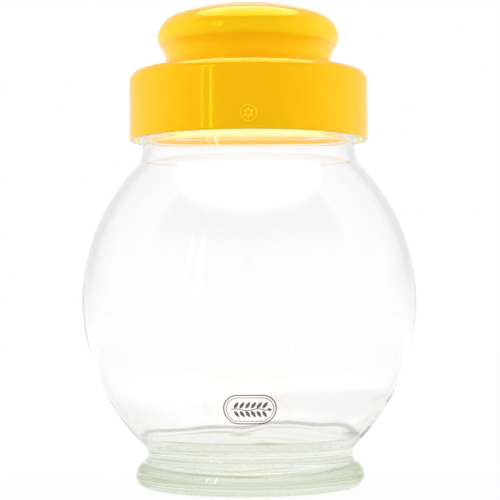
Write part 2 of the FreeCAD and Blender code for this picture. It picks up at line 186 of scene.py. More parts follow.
def buildHandlingGroup(s):
    # faint wipe marks in patches, as a roughness that varies over the surface
    group, bench, given, result = newGroup(
        "handlingMarks",
        [
            ("Scale", "NodeSocketFloat", 30.0),
            ("Clean Roughness", "NodeSocketFloat", 0.05),
            ("Marked Roughness", "NodeSocketFloat", 0.2),
        ],
        [("Roughness", "NodeSocketFloat")],
    )
    place = bench.add("ShaderNodeTexCoord").outputs["Object"]
    stretched = bench.add(
        "ShaderNodeMapping", {"Vector": place, "Scale": s["stretch"], "Rotation": s["turn"]}
    ).outputs["Vector"]
    wipes = bench.add(
        "ShaderNodeTexNoise",
        {
            "Vector": stretched, "Scale": given.outputs["Scale"], "Detail": s["detail"],
            "Roughness": s["roughness"], "Distortion": s["distortion"],
        },
    ).outputs["Fac"]
    patches = bench.add(
        "ShaderNodeTexNoise", {"Vector": place, "Scale": s["patchScale"], "Detail": s["patchDetail"]}
    ).outputs["Fac"]
    marks = bench.maths(
        "MULTIPLY",
        bench.band(wipes, s["wipesFrom"], s["wipesTo"]),
        bench.band(patches, s["patchFrom"], s["patchTo"]),
    )
    rough = bench.band(marks, 0.0, 1.0, given.outputs["Clean Roughness"], given.outputs["Marked Roughness"])
    bench.tree.links.new(rough, result.inputs["Roughness"])
    return group


rippleLook = {
    "flatten": (1.0, 1.0, 0.45), "waveDetail": 1.5, "waveRoughness": 0.4, "grainDetail": 2.0,
}


def buildRippleGroup(s):
    # the slow waviness that a mould and cooling leave, with fine grain on top, as a height
    group, bench, given, result = newGroup(
        "surfaceRipple",
        [
            ("Wave Scale", "NodeSocketFloat", 20.0),
            ("Grain Scale", "NodeSocketFloat", 900.0),
            ("Grain Share", "NodeSocketFloat", 0.1),
        ],
        [("Height", "NodeSocketFloat")],
    )
    place = bench.add("ShaderNodeTexCoord").outputs["Object"]
    flattened = bench.add(
        "ShaderNodeMapping", {"Vector": place, "Scale": s["flatten"]}
    ).outputs["Vector"]
    waves = bench.add(
        "ShaderNodeTexNoise",
        {
            "Vector": flattened, "Scale": given.outputs["Wave Scale"],
            "Detail": s["waveDetail"], "Roughness": s["waveRoughness"],
        },
    ).outputs["Fac"]
    grain = bench.add(
        "ShaderNodeTexNoise",
        {"Vector": place, "Scale": given.outputs["Grain Scale"], "Detail": s["grainDetail"]},
    ).outputs["Fac"]
    height = bench.maths(
        "ADD", waves, bench.maths("MULTIPLY", grain, given.outputs["Grain Share"])
    )
    bench.tree.links.new(height, result.inputs["Height"])
    return group


handlingGroup = buildHandlingGroup(handlingLook)
rippleGroup = buildRippleGroup(rippleLook)


def newMaterial(name):
    material = bpy.data.materials.new(name)
    material.use_nodes = True
    material.node_tree.nodes.clear()
    bench = NodeBench(material.node_tree)
    return material, bench, bench.add("ShaderNodeOutputMaterial")


def useGroup(bench, group, values):
    node = bench.add("ShaderNodeGroup", node_tree=group)
    for title, value in values.items():
        node.inputs[title].default_value = value
    return node


def markedRoughness(bench, look):
    marks = useGroup(
        bench, handlingGroup,
        {"Scale": look["markScale"], "Clean Roughness": look["clean"], "Marked Roughness": look["marked"]},
    )
    return marks.outputs["Roughness"]


def rippledNormal(bench, look):
    ripple = useGroup(
        bench, rippleGroup,
        {
            "Wave Scale": look["waveScale"],
            "Grain Scale": look["grainScale"], "Grain Share": look["grainShare"],
        },
    )
    bump = bench.add(
        "ShaderNodeBump",
        {
            "Height": ripple.outputs["Height"],
            "Strength": look["rippleStrength"], "Distance": look["rippleDistance"],
        },
    )
    return bump.outputs["Normal"]


# the glass jar; sizes in millimetres

jarSizes = {
    "footRadius": 45.3, "soleRadius": 14.0, "heelRadius": 4.4, "heelLift": 0.8,
    "waistInset": 4.6, "waistHeight": 14.4, "waistRound": 3.9,
    "puntInset": 11.3, "puntRise": 2.4,
    "girthRadius": 66.4, "girthHeight": 74.6, "wallGirth": 2.3,
    "roomDrop": 1.9, "roomInset": 1.5, "floorRise": 5.0, "floorRound": 6.5,
    "mouthHeight": 163.28, "mouthRound": 1.2,
    "neckRadius": 42.6, "neckWall": 3.3, "neckSweep": 10.0,
    "finishHeight": 23.28, "neckRise": 4.6,
    "beadProud": 1.7, "beadRound": 2.6, "beadFillet": 0.8,
    "puntEase": 0.5, "neckEase": 0.2,  # short runs between two shapes
    "turns": 288, "step": 0.9,
    # how the blown floor differs from a true one, up to unevenTo above it
    "unevenFrom": 4.0, "unevenTo": 22.0,
    "backRise": 1.0, "backFrom": -18.0, "backTo": 26.0,
    "rightRise": 2.2, "rightFrom": -5.0, "rightTo": 10.0,
    "floorWave": 0.25, "waveLength": 19.0, "waveSeed": (3.1, -1.7, 0.4),
    "floorHump": 0.9, "humpAt": (3.0, -4.0), "humpFrom": 6.0, "humpTo": 27.0,
    "chillRadius": 38.4, "chillWander": 0.8, "chillDepth": 0.4, "chillWidth": 0.8, "chillSeed": 5.0,
    "cornerCreep": 0.2, "creepStarts": 0.5, "creepFull": 7.0, "creepFades": 8.0, "creepEnds": 20.0,
    "creepEven": 0.55, "creepSided": 0.45, "creepTurn": 0.35, "creepInward": 0.55, "creepUp": 0.8,
}


def jarOutline(s):
    foot = (s["footRadius"], s["heelRadius"] + s["heelLift"])
    girth = (s["girthRadius"], s["girthHeight"])
    heelAt = (foot[0] - s["heelRadius"], foot[1])
    soleIn = math.sqrt((s["soleRadius"] - s["heelRadius"]) ** 2 - (s["soleRadius"] - foot[1]) ** 2)
    soleAt = (heelAt[0] - soleIn, s["soleRadius"])
    waistAt = (foot[0] - s["waistInset"] + s["waistRound"], s["waistHeight"])
    browRadius = tangentRadius(foot, waistAt, s["waistRound"])
    browAt = (foot[0] - browRadius, foot[1])
    lowRadius = tangentRadius(girth, waistAt, s["waistRound"])
    lowAt = (girth[0] - lowRadius, girth[1])
    neckFoot = s["mouthHeight"] - s["finishHeight"] - s["neckRise"]
    sweepAt = (s["neckRadius"] + s["neckSweep"], neckFoot)
    highRadius = tangentRadius(girth, sweepAt, s["neckSweep"])
    highAt = (girth[0] - highRadius, girth[1])
    beadAt = (s["neckRadius"] + s["beadProud"] - s["beadRound"], s["mouthHeight"] - s["finishHeight"])
    hollowOut = s["neckRadius"] + s["beadFillet"]
    reach = math.sqrt((s["beadRound"] + s["beadFillet"]) ** 2 - (hollowOut - beadAt[0]) ** 2)
    lift = headingTo(beadAt, (hollowOut, beadAt[1] + reach))

    ringIn = s["footRadius"] - s["puntInset"]
    dome = (ringIn**2 + s["puntRise"] ** 2) / (2 * s["puntRise"])
    domeEdge = math.degrees(math.acos(ringIn / dome))
    fine, coarse = s["step"] / 3, s["step"] * 1.5
    outside = joinRuns(
        arcPoints((0, s["puntRise"] - dome), dome, 90, domeEdge, coarse),
        linePoints((ringIn + s["puntEase"], 0), (soleAt[0], 0), s["step"]),
        arcPoints(soleAt, s["soleRadius"], -90, headingTo(soleAt, heelAt), fine),
        arcPoints(heelAt, s["heelRadius"], headingTo(soleAt, heelAt), 0, fine),
        arcPoints(browAt, browRadius, 0, headingTo(browAt, waistAt), fine),
        arcPoints(
            waistAt, s["waistRound"], 180 + headingTo(browAt, waistAt), headingTo(waistAt, lowAt), fine
        ),
        arcPoints(lowAt, lowRadius, headingTo(lowAt, waistAt), 0, coarse),
        arcPoints(highAt, highRadius, 0, headingTo(highAt, sweepAt), coarse),
        arcPoints(sweepAt, s["neckSweep"], 180 + headingTo(highAt, sweepAt), 180, fine),
        linePoints((s["neckRadius"], neckFoot), (s["neckRadius"], beadAt[1] - reach), s["step"]),
        arcPoints((hollowOut, beadAt[1] - reach), s["beadFillet"], 180, 180 - lift, fine),
        arcPoints(beadAt, s["beadRound"], -lift, lift, fine),
        arcPoints((hollowOut, beadAt[1] + reach), s["beadFillet"], 180 + lift, 180, fine),
    )

    bore = s["neckRadius"] - s["neckWall"]
    rim = s["mouthHeight"]
    edge = s["mouthRound"]
    ease = s["neckEase"]
    mouth = joinRuns(
        linePoints((s["neckRadius"], beadAt[1] + reach + ease), (s["neckRadius"], rim - edge), s["step"]),
        arcPoints((s["neckRadius"] - edge, rim - edge), edge, 0, 90, fine),
        arcPoints((bore + edge, rim - edge), edge, 90, 180, fine),
    )

    roomGirth = (girth[0] - s["wallGirth"], girth[1] - s["roomDrop"])
    roomLow = lowRadius - s["wallGirth"] - s["roomInset"]
    roomLowAt = (roomGirth[0] - roomLow, roomGirth[1])
    innerSweep = s["neckSweep"] + s["neckWall"]
    roomHigh = tangentRadius(roomGirth, sweepAt, innerSweep)
    roomHighAt = (roomGirth[0] - roomHigh, roomGirth[1])
    floor = s["waistHeight"] + s["floorRise"]
    cornerUp = floor + s["floorRound"]
    cornerOut = math.sqrt((roomLow - s["floorRound"]) ** 2 - (cornerUp - roomLowAt[1]) ** 2)
    cornerAt = (roomLowAt[0] + cornerOut, cornerUp)
    inside = joinRuns(
        linePoints((bore, rim - edge - ease), (bore, neckFoot), s["step"]),
        arcPoints(sweepAt, innerSweep, 180, 180 + headingTo(roomHighAt, sweepAt), fine),
        arcPoints(roomHighAt, roomHigh, headingTo(roomHighAt, sweepAt), 0, coarse),
        arcPoints(roomLowAt, roomLow, 0, headingTo(roomLowAt, cornerAt), coarse),
        arcPoints(cornerAt, s["floorRound"], headingTo(roomLowAt, cornerAt), -90, fine),
        linePoints((cornerAt[0], floor), (0, floor), fine * 2),
    )
    return joinRuns(outside, mouth), inside, floor


def smoothStep(value, low, high):
    t = min(1.0, max(0.0, (value - low) / (high - low)))
    return t * t * (3 - 2 * t)


def buildJar(s):
    outside, inside, floor = jarOutline(s)
    firstInner = len(outside)

    def blownShape(radius, angle, height, index):
        # only the floor inside is uneven: higher at the back and more so on the right, wavy,
        # with a low hump and a fine chill line round its edge
        if index < firstInner or height > floor + s["unevenTo"]:
            return radius, height
        x, y = radius * math.cos(angle), radius * math.sin(angle)
        down = 1 - smoothStep(height, floor + s["unevenFrom"], floor + s["unevenTo"])
        right = s["rightRise"] * smoothStep(x, s["rightFrom"], s["rightTo"])
        back = smoothStep(y, s["backFrom"], s["backTo"]) * (s["backRise"] + right)
        seedX, seedY, seedZ = s["waveSeed"]
        waveAt = Vector((x / s["waveLength"] + seedX, y / s["waveLength"] + seedY, seedZ))
        wave = s["floorWave"] * noise.noise(waveAt)
        humpX, humpY = s["humpAt"]
        fromHump = math.hypot(x - humpX, y - humpY)
        hump = s["floorHump"] * (1 - smoothStep(fromHump, s["humpFrom"], s["humpTo"]))
        around = Vector((math.cos(angle), math.sin(angle), s["chillSeed"]))
        line = s["chillRadius"] + s["chillWander"] * noise.noise(around)
        chill = s["chillDepth"] * math.exp(-(((radius - line) / s["chillWidth"]) ** 2))
        starting = smoothStep(height, floor + s["creepStarts"], floor + s["creepFull"])
        onCorner = starting * (1 - smoothStep(height, floor + s["creepFades"], floor + s["creepEnds"]))
        oneSided = s["creepEven"] + s["creepSided"] * math.cos(angle - s["creepTurn"])
        creep = s["cornerCreep"] * onCorner * oneSided
        raised = height + down * (back + wave + hump) - chill + s["creepUp"] * creep
        return radius - s["creepInward"] * creep, raised

    return turnProfile("glassJar", outside + inside, s["turns"], blownShape)


# a look's own lengths are in metres
glassLook = {
    "ior": 1.5, "markScale": 60.0, "clean": 0.0, "marked": 0.012,
    "tint": (0.36, 0.48, 0.12, 1.0), "depth": 1.2,
    # painted darker and greener in the solid foot: the thick glass's own green, with painted shade
    "clearColour": (1.0, 1.0, 1.0), "footTintAndPaintedShade": (0.77, 0.83, 0.68),
    "footFrom": 0.0112, "footTo": 0.0092,
    # painted shade: the colour of the dark line painted round the floor of the room
    "paintedDarkLineColour": (0.40, 0.40, 0.29), "lineRadius": 0.0428, "lineCore": 0.00054, "lineEdge": 0.00135,
    "lineWander": 0.0004, "wanderScale": 45.0, "wanderDetail": 1.0, "wanderBand": (0.3, 0.7),
    "lineHeights": (0.0203, 0.0285), "lineSoft": 0.0005,
    "waveScale": 26.0, "grainScale": 400.0, "grainShare": 0.0,
    "rippleStrength": 0.09, "rippleDistance": 0.00035,
}


def glassMaterial(look):
    material, bench, output = newMaterial("jarGlass")
    # the solid foot is painted darker and greener: the thick glass's own green, with painted shade of the
    # shadowed floor under it
    place = bench.add("ShaderNodeTexCoord").outputs["Object"]
    up = bench.add("ShaderNodeSeparateXYZ", {"Vector": place}).outputs[2]
    inFoot = bench.band(up, look["footTo"], look["footFrom"], 1.0, 0.0)
    colour = bench.mixColours(inFoot, look["clearColour"], look["footTintAndPaintedShade"])

    # painted shade: a dark line painted round the floor of the room, where the glass shows a dark line
    flat = bench.add("ShaderNodeMapping", {"Vector": place, "Scale": (1.0, 1.0, 0.0)}).outputs["Vector"]
    radius = bench.add("ShaderNodeVectorMath", {0: flat}, operation="LENGTH").outputs["Value"]
    wander = bench.add(
        "ShaderNodeTexNoise",
        {"Vector": flat, "Scale": look["wanderScale"], "Detail": look["wanderDetail"]},
    ).outputs["Fac"]
    middle, shift = look["lineRadius"], look["lineWander"]
    wanted = bench.band(wander, *look["wanderBand"], middle - shift, middle + shift)
    apart = bench.maths("ABSOLUTE", bench.maths("SUBTRACT", radius, wanted))
    low, high = look["lineHeights"]
    line = bench.maths(
        "MULTIPLY",
        bench.band(apart, look["lineCore"], look["lineEdge"], 1.0, 0.0),
        bench.maths(
            "MULTIPLY",
            bench.band(up, low, low + look["lineSoft"]),
            bench.band(up, high - 2 * look["lineSoft"], high, 1.0, 0.0),
        ),
    )
    lined = bench.mixColours(line, colour, look["paintedDarkLineColour"])
    glass = bench.add(
        "ShaderNodeBsdfPrincipled",
        {
            "Base Color": lined, "Metallic": 0.0, "IOR": look["ior"],
            "Transmission Weight": 1.0, "Roughness": markedRoughness(bench, look),
            "Normal": rippledNormal(bench, look),
        },
    )
    soaked = bench.add("ShaderNodeVolumeAbsorption", {"Color": look["tint"], "Density": look["depth"]})
    bench.tree.links.new(glass.outputs[0], output.inputs["Surface"])
    bench.tree.links.new(soaked.outputs[0], output.inputs["Volume"])
    return material


glassJar = buildJar(jarSizes)
glassJar.data.materials.append(glassMaterial(glassLook))
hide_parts("glass_jar")
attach(glassJar, "root")
print("jar:", len(glassJar.data.polygons), "faces")


# the plastic lid; sizes in millimetres

lidSizes = {
    "seat": 163.3, "bore": 44.8, "skirtWall": 2.9, "skirtDepth": 24.7, "plateWall": 2.8,
    "shoulderRound": 3.9, "skirtCorner": 1.5, "rimRound": 0.5,
    "knobNeck": 32.9, "knobWaist": 3.1, "knobProud": 3.5, "knobBelly": 13.6,
    "knobUnder": 5.5, "knobBrow": 9.1, "domeRadius": 89.4, "knobFillet": 0.8,
    "knobWall": 2.7, "coreDraft": 1.2, "coreRound": 6.0, "coreLip": 1.5,
    "plugOuter": 39.0, "plugWall": 1.6, "plugDepth": 6.0, "plugLead": 0.6,
    "turns": 256, "step": 0.9, "creaseAngle": 35.0,
}


def lidOutline(s):
    fine, coarse = s["step"] / 3, s["step"] * 1.5
    seat, plate = s["seat"], s["seat"] + s["plateWall"]
    out = s["bore"] + s["skirtWall"]
    low = seat - s["skirtDepth"]
    knob = s["knobNeck"] + s["knobProud"]
    widest = plate + s["knobBelly"]
    underAt = (knob - s["knobUnder"], widest)
    narrow = (s["knobNeck"], plate + s["knobWaist"])
    flareRadius = tangentRadius(narrow, underAt, s["knobUnder"], side=-1)
    flareAt = (narrow[0] + flareRadius, narrow[1])
    browAt = (knob - s["knobBrow"], widest)
    domeFar = s["domeRadius"] - s["knobBrow"]
    domeAt = (0, widest - math.sqrt(domeFar**2 - browAt[0] ** 2))
    down = headingTo(underAt, flareAt)
    rim, shoulder, foot = s["rimRound"], s["shoulderRound"], s["knobFillet"]
    core = s["knobNeck"] - s["knobWall"]
    head = core - s["coreDraft"]
    roof = s["domeRadius"] - s["knobWall"]
    innerOut = head - s["coreRound"]
    innerBrowAt = (innerOut, domeAt[1] + math.sqrt((roof - s["coreRound"]) ** 2 - innerOut**2))
    lip = s["coreLip"]
    inner, plugOut = s["plugOuter"] - s["plugWall"], s["plugOuter"]
    plugLow = seat - s["plugDepth"]
    corner = s["skirtCorner"]
    outside = joinRuns(
        arcPoints(domeAt, s["domeRadius"], 90, headingTo(domeAt, browAt), coarse),
        arcPoints(browAt, s["knobBrow"], headingTo(domeAt, browAt), 0, fine),
        arcPoints(underAt, s["knobUnder"], 0, down, fine),
        arcPoints(flareAt, flareRadius, 180 + down, 180, fine),
        linePoints(narrow, (narrow[0], plate + foot), s["step"]),
        arcPoints((narrow[0] + foot, plate + foot), foot, 180, 270, fine / 1.5),
        linePoints((narrow[0] + foot, plate), (out - shoulder, plate), s["step"]),
        arcPoints((out - shoulder, plate - shoulder), shoulder, 90, 0, fine),
        linePoints((out, plate - shoulder), (out, low + rim), s["step"]),
        arcPoints((out - rim, low + rim), rim, 0, -90, fine / 2),
        linePoints((out - rim, low), (s["bore"] + rim, low), s["step"]),
    )
    inside = joinRuns(
        arcPoints((s["bore"] + rim, low + rim), rim, -90, -180, fine / 2),
        linePoints((s["bore"], low + rim), (s["bore"], seat - corner), s["step"]),
        arcPoints((s["bore"] - corner, seat - corner), corner, 0, 90, fine / 1.5),
        linePoints((s["bore"] - corner, seat), (plugOut, seat), s["step"]),
        linePoints((plugOut, seat), (plugOut, plugLow + s["plugLead"]), s["step"]),
        linePoints((plugOut, plugLow + s["plugLead"]), (plugOut - s["plugLead"], plugLow), s["step"]),
        linePoints((plugOut - s["plugLead"], plugLow), (inner, plugLow), s["step"]),
        linePoints((inner, plugLow), (inner, seat), s["step"]),
        linePoints((inner, seat), (core + lip, seat), s["step"]),
        arcPoints((core + lip, seat + lip), lip, 270, 180, fine),
        linePoints((core, seat + lip), (head, innerBrowAt[1]), s["step"]),
        arcPoints(innerBrowAt, s["coreRound"], 0, headingTo(domeAt, innerBrowAt), fine * 1.5),
        arcPoints(domeAt, roof, headingTo(domeAt, innerBrowAt), 90, coarse),
    )
    return joinRuns(outside, inside), len(outside)


def creaseSharp(piece, angle):
    # faces that meet at more than this angle keep a hard edge
    piece.data.set_sharp_from_angle(angle=math.radians(angle))


lidLook = {
    "colour": (0.965, 0.50, 0.0045), "deeper": 0.96,
    "flowScale": 22.0, "flowDetail": 3.0, "flowBand": (0.3, 0.7),
    # painted light: the knob is painted a paler yellow than the skirt, to cancel the shade under its brow
    "knobPaintedLightColour": (0.94, 0.55, 0.006), "knobPaintedLightHeights": (0.1695, 0.1715),
    "ior": 1.5, "gloss": 0.7, "glossTint": (0.55, 1.0, 0.02, 1.0),
    "depth": 0.4, "glowColour": (1.0, 0.7, 0.05), "glowDepth": 0.003,
    "markScale": 45.0, "clean": 0.075, "marked": 0.14,
    "waveScale": 40.0, "grainScale": 1400.0, "grainShare": 0.05,
    "rippleStrength": 0.2, "rippleDistance": 0.00012,
    # painted glow: past this ray depth the plastic shows as a pale emission
    "paintedGlowAfter": 7.5, "paintedPaleGlow": (0.80, 0.82, 0.70, 1.0),
}
# the inside is the same plastic, with a painted glow: emission that stands in for daylight through the thin
# wall
lidInsideLook = {
    **lidLook, "paintedThrough": 0.8,
    "paintedGlowLow": (1.0, 0.40, 0.02), "paintedGlowHigh": (1.0, 0.84, 0.56), "paintedGlowTop": (0.92, 0.84, 0.62),
    "paintedGlowHeights": (0.1415, 0.1465), "paintedGlowTopHeights": (0.164, 0.166),
}


def plasticMaterial(name, look):
    material, bench, output = newMaterial(name)
    place = bench.add("ShaderNodeTexCoord").outputs["Object"]
    up = bench.add("ShaderNodeSeparateXYZ", {"Vector": place}).outputs[2]
    flow = bench.add(
        "ShaderNodeTexNoise",
        {"Vector": place, "Scale": look["flowScale"], "Detail": look["flowDetail"]},
    ).outputs["Fac"]
    deeper = tuple(part * look["deeper"] for part in look["colour"])
    skirt = bench.mixColours(bench.band(flow, *look["flowBand"]), deeper, look["colour"])
    # painted light: above these heights the knob gets the paler yellow, against the shade under its brow
    colour = bench.mixColours(bench.band(up, *look["knobPaintedLightHeights"]), skirt, look["knobPaintedLightColour"])
    plastic = bench.add(
        "ShaderNodeBsdfPrincipled",
        {
            "Base Color": colour, "Metallic": 0.0, "IOR": look["ior"],
            "Specular IOR Level": look["gloss"], "Specular Tint": look["glossTint"],
            "Subsurface Weight": look["depth"], "Subsurface Radius": look["glowColour"],
            "Subsurface Scale": look["glowDepth"],
            "Roughness": markedRoughness(bench, look), "Normal": rippledNormal(bench, look),
        },
    )
    if "paintedThrough" in look:  # painted glow: emission in place of daylight through the thin wall, paler higher up
        paintedThrough = bench.mixColours(
            bench.band(up, *look["paintedGlowHeights"]), look["paintedGlowLow"], look["paintedGlowHigh"]
        )
        glow = bench.mixColours(bench.band(up, *look["paintedGlowTopHeights"]), paintedThrough, look["paintedGlowTop"])
        bench.tree.links.new(glow, plastic.inputs["Emission Color"])
        plastic.inputs["Emission Strength"].default_value = look["paintedThrough"]
    # light led up inside the glass arrives pale
    # painted glow: where a ray reaches the plastic after many turns, the plastic is replaced by a pale
    # emission
    depth = bench.add("ShaderNodeLightPath").outputs["Ray Depth"]
    paintedGlowMask = bench.maths("GREATER_THAN", depth, look["paintedGlowAfter"])
    paintedPaleGlow = bench.add("ShaderNodeEmission", {"Color": look["paintedPaleGlow"], "Strength": 1.0})
    mixed = bench.add("ShaderNodeMixShader", {0: paintedGlowMask, 1: plastic.outputs[0], 2: paintedPaleGlow.outputs[0]})
    material.cycles.emission_sampling = "NONE"
    bench.tree.links.new(mixed.outputs[0], output.inputs["Surface"])
    return material


lidProfile, lidInner = lidOutline(lidSizes)
lid = turnProfile("jarLid", lidProfile, lidSizes["turns"])
creaseSharp(lid, lidSizes["creaseAngle"])
lid.data.materials.append(plasticMaterial("lidPlastic", lidLook))
lid.data.materials.append(plasticMaterial("lidPlasticInside", lidInsideLook))
for index, polygon in enumerate(lid.data.polygons):
    if index >= (lidInner - 1) * lidSizes["turns"]:
        polygon.material_index = 1  # from the rim of the skirt inward
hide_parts("lid")
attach(lid, "root")
print("lid:", len(lid.data.polygons), "faces")


# the small print on the glass, and the raised rosette on the lid

def inlay(name, lines, leaves, place, low, high):
    # flat marks with a little thickness; place(across, up, lift) puts a point on the curved surface
    vertices, faces = [], []

    def addRing(points, lift):
        start = len(vertices)
        vertices.extend(tuple(c * mm for c in place(u, v, lift)) for u, v in points)
        return list(range(start, len(vertices)))

    def addBand(first, second, closed):
        count = len(first)
        for i in range(count if closed else count - 1):
            j = (i + 1) % count
            faces.append((first[i], first[j], second[j], second[i]))

    for points, width, closed in lines:
        left, right = [], []
        count = len(points)
        for i, (u, v) in enumerate(points):
            before = points[(i - 1) % count] if closed or i else (u, v)
            after = points[(i + 1) % count] if closed or i < count - 1 else (u, v)
            du, dv = after[0] - before[0], after[1] - before[1]
            size = math.hypot(du, dv) or 1.0
            nu, nv = -dv / size * width / 2, du / size * width / 2
            left.append((u + nu, v + nv))
            right.append((u - nu, v - nv))
        rightTop, leftTop = addRing(right, high), addRing(left, high)
        rightLow, leftLow = addRing(right, low), addRing(left, low)
        addBand(rightTop, leftTop, closed)
        addBand(leftTop, leftLow, closed)
        addBand(leftLow, rightLow, closed)
        addBand(rightLow, rightTop, closed)
        if not closed:
            faces.append((rightTop[0], leftTop[0], leftLow[0], rightLow[0]))
            faces.append((rightLow[-1], leftLow[-1], leftTop[-1], rightTop[-1]))
    for points in leaves:
        top, under = addRing(points, high), addRing(points, low)
        faces.append(tuple(top))
        faces.append(tuple(reversed(under)))
        addBand(under, top, True)
    mesh = bpy.data.meshes.new(name)
    mesh.from_pydata(vertices, [], faces)
    mesh.validate()
    piece = bpy.data.objects.new(name, mesh)
    bpy.context.scene.collection.objects.link(piece)
    return piece


def pillLine(halfWidth, halfHeight, count, straight=8):
    # a closed outline with round ends, and long sides in "straight" equal parts
    flat = halfWidth - halfHeight
    points = []
    for side in (1, -1):
        for i in range(count + 1):
            t = math.pi * (i / count - 0.5) + (0 if side > 0 else math.pi)
            points.append((side * flat + halfHeight * math.cos(t), halfHeight * math.sin(t)))
        for i in range(1, straight):
            points.append((side * flat * (1 - 2 * i / straight), side * halfHeight))
    return points


def leafShape(root, tip, width, count=9, fullness=0.85):
    # a pointed leaf, counter-clockwise from its root; fullness under 1 is widest nearer the root
    du, dv = tip[0] - root[0], tip[1] - root[1]
    size = math.hypot(du, dv)
    sides = []
    for side in (-1, 1):
        for i in range(count):
            t = i / count if side < 0 else 1 - i / count
            bulge = side * width / 2 * math.sin(math.pi * t**fullness)
            sides.append((root[0] + du * t - dv / size * bulge, root[1] + dv * t + du / size * bulge))
    return sides


printSizes = {
    "height": 33.9, "halfWidth": 9.7, "halfHeight": 5.4, "frame": 0.42, "innerFrame": 0.24, "gap": 0.95,
    "endPoints": 18, "low": 0.02, "high": 0.05,
    "stem": 0.3, "stemFrom": -7.0, "stemStep": 0.7, "stemPoints": 20, "stemSway": 0.35, "swayTurn": 0.55,
    "pairs": 6, "firstPair": -5.9, "pairStep": 2.1, "leafRoot": 0.45, "leafLean": 1.9,
    "leafLength": 3.0, "leafWidth": 1.25, "endLeaf": (6.3, 8.2), "endLeafWidth": 1.1,
}


def jarSurface(s, height):
    # radius of the belly's lower arc at a height
    girth = (s["girthRadius"], s["girthHeight"])
    waistAt = (s["footRadius"] - s["waistInset"] + s["waistRound"], s["waistHeight"])
    lowRadius = tangentRadius(girth, waistAt, s["waistRound"])
    return girth[0] - lowRadius + math.sqrt(lowRadius**2 - (height - girth[1]) ** 2)


def buildPrint(s):
    # a double frame round a leafy twig
    middle = jarSurface(jarSizes, s["height"])

    def onGlass(across, up, lift):
        z = s["height"] + up
        r = jarSurface(jarSizes, z) + lift
        return r * math.sin(across / middle), -r * math.cos(across / middle), z

    width, height, gap = s["halfWidth"], s["halfHeight"], s["gap"]
    twig = [
        (s["stemFrom"] + i * s["stemStep"], s["stemSway"] * math.sin(i * s["swayTurn"]))
        for i in range(s["stemPoints"])
    ]
    lines = [
        (pillLine(width, height, s["endPoints"]), s["frame"], True),
        (pillLine(width - gap, height - gap, s["endPoints"]), s["innerFrame"], True),
        (twig, s["stem"], False),
    ]
    leaves = []
    for i in range(s["pairs"]):
        across = s["firstPair"] + i * s["pairStep"]
        for side in (1, -1):
            tip = (across + s["leafLean"], side * s["leafLength"])
            leaves.append(leafShape((across, side * s["leafRoot"]), tip, s["leafWidth"]))
    start, end = s["endLeaf"]
    leaves.append(leafShape((start, 0.0), (end, 0.0), s["endLeafWidth"]))
    return inlay("glassPrint", lines, leaves, onGlass, s["low"], s["high"])


inkLook = {
    "dark": (0.115, 0.115, 0.118), "worn": (0.17, 0.17, 0.172),
    "speckScale": 900.0, "speckDetail": 3.0, "speckBand": (0.35, 0.75),
    "markScale": 90.0, "clean": 0.35, "marked": 0.6, "gloss": 0.3,
}


def inkMaterial(look):
    material, bench, output = newMaterial("printInk")
    place = bench.add("ShaderNodeTexCoord").outputs["Object"]
    specks = bench.add(
        "ShaderNodeTexNoise",
        {"Vector": place, "Scale": look["speckScale"], "Detail": look["speckDetail"]},
    ).outputs["Fac"]
    colour = bench.mixColours(bench.band(specks, *look["speckBand"]), look["dark"], look["worn"])
    ink = bench.add(
        "ShaderNodeBsdfPrincipled",
        {
            "Base Color": colour, "Roughness": markedRoughness(bench, look),
            "Specular IOR Level": look["gloss"],
        },
    )
    bench.tree.links.new(ink.outputs[0], output.inputs["Surface"])
    return material


glassPrint = buildPrint(printSizes)
glassPrint.data.materials.append(inkMaterial(inkLook))
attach(glassPrint, "root")

rosetteSizes = {
    "height": 144.6, "ring": 3.0, "ringWidth": 0.42, "ringPoints": 40,
    "petals": 6, "petalFrom": 0.55, "petalTo": 2.3, "petalWidth": 0.95, "low": -0.05, "high": 0.12,
}


def buildRosette(s):
    wall = lidSizes["bore"] + lidSizes["skirtWall"]

    def onSkirt(across, up, lift):
        r = wall + lift
        return r * math.sin(across / wall), -r * math.cos(across / wall), s["height"] + up

    ring = []
    for i in range(s["ringPoints"]):
        t = 2 * math.pi * i / s["ringPoints"]
        ring.append((s["ring"] * math.cos(t), s["ring"] * math.sin(t)))
    petals = []
    for i in range(s["petals"]):
        t = 2 * math.pi * (i + 0.5) / s["petals"]
        u, v = math.cos(t), math.sin(t)
        root, tip = (u * s["petalFrom"], v * s["petalFrom"]), (u * s["petalTo"], v * s["petalTo"])
        petals.append(leafShape(root, tip, s["petalWidth"]))
    return inlay("lidRosette", [(ring, s["ringWidth"], True)], petals, onSkirt, s["low"], s["high"])


# painted highlight: the rosette is the lid's own plastic, painted a paler yellow in place of the gloss on
# its raised edges
rosettePaintedHighlightLook = {**lidLook, "colour": (1.0, 0.68, 0.02)}
lidRosette = buildRosette(rosetteSizes)
lidRosette.data.materials.append(plasticMaterial("rosettePlastic", rosettePaintedHighlightLook))
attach(lidRosette, "root")
print("marks: print", len(glassPrint.data.polygons), "rosette", len(lidRosette.data.polygons), "faces")


# camera; places in metres, angles in degrees, lens and sensor in millimetres

cameraView = {
    "distance": 0.720, "height": 0.0684, "aside": 0.0002, "pitch": 2.1, "roll": 0.3,
    "lens": 129.6, "sensor": 36.0, "near": 0.01, "far": 50.0,
}
camera = bpy.data.objects.new("camera", bpy.data.cameras.new("camera"))
camera.data.lens = cameraView["lens"]
camera.data.sensor_width = cameraView["sensor"]
camera.data.clip_start = cameraView["near"]
camera.data.clip_end = cameraView["far"]
camera.location = (cameraView["aside"], -cameraView["distance"], cameraView["height"])
camera.rotation_euler = (
    math.radians(90 + cameraView["pitch"]), math.radians(cameraView["roll"]), 0.0
)
bpy.context.scene.collection.objects.link(camera)
bpy.context.scene.camera = camera


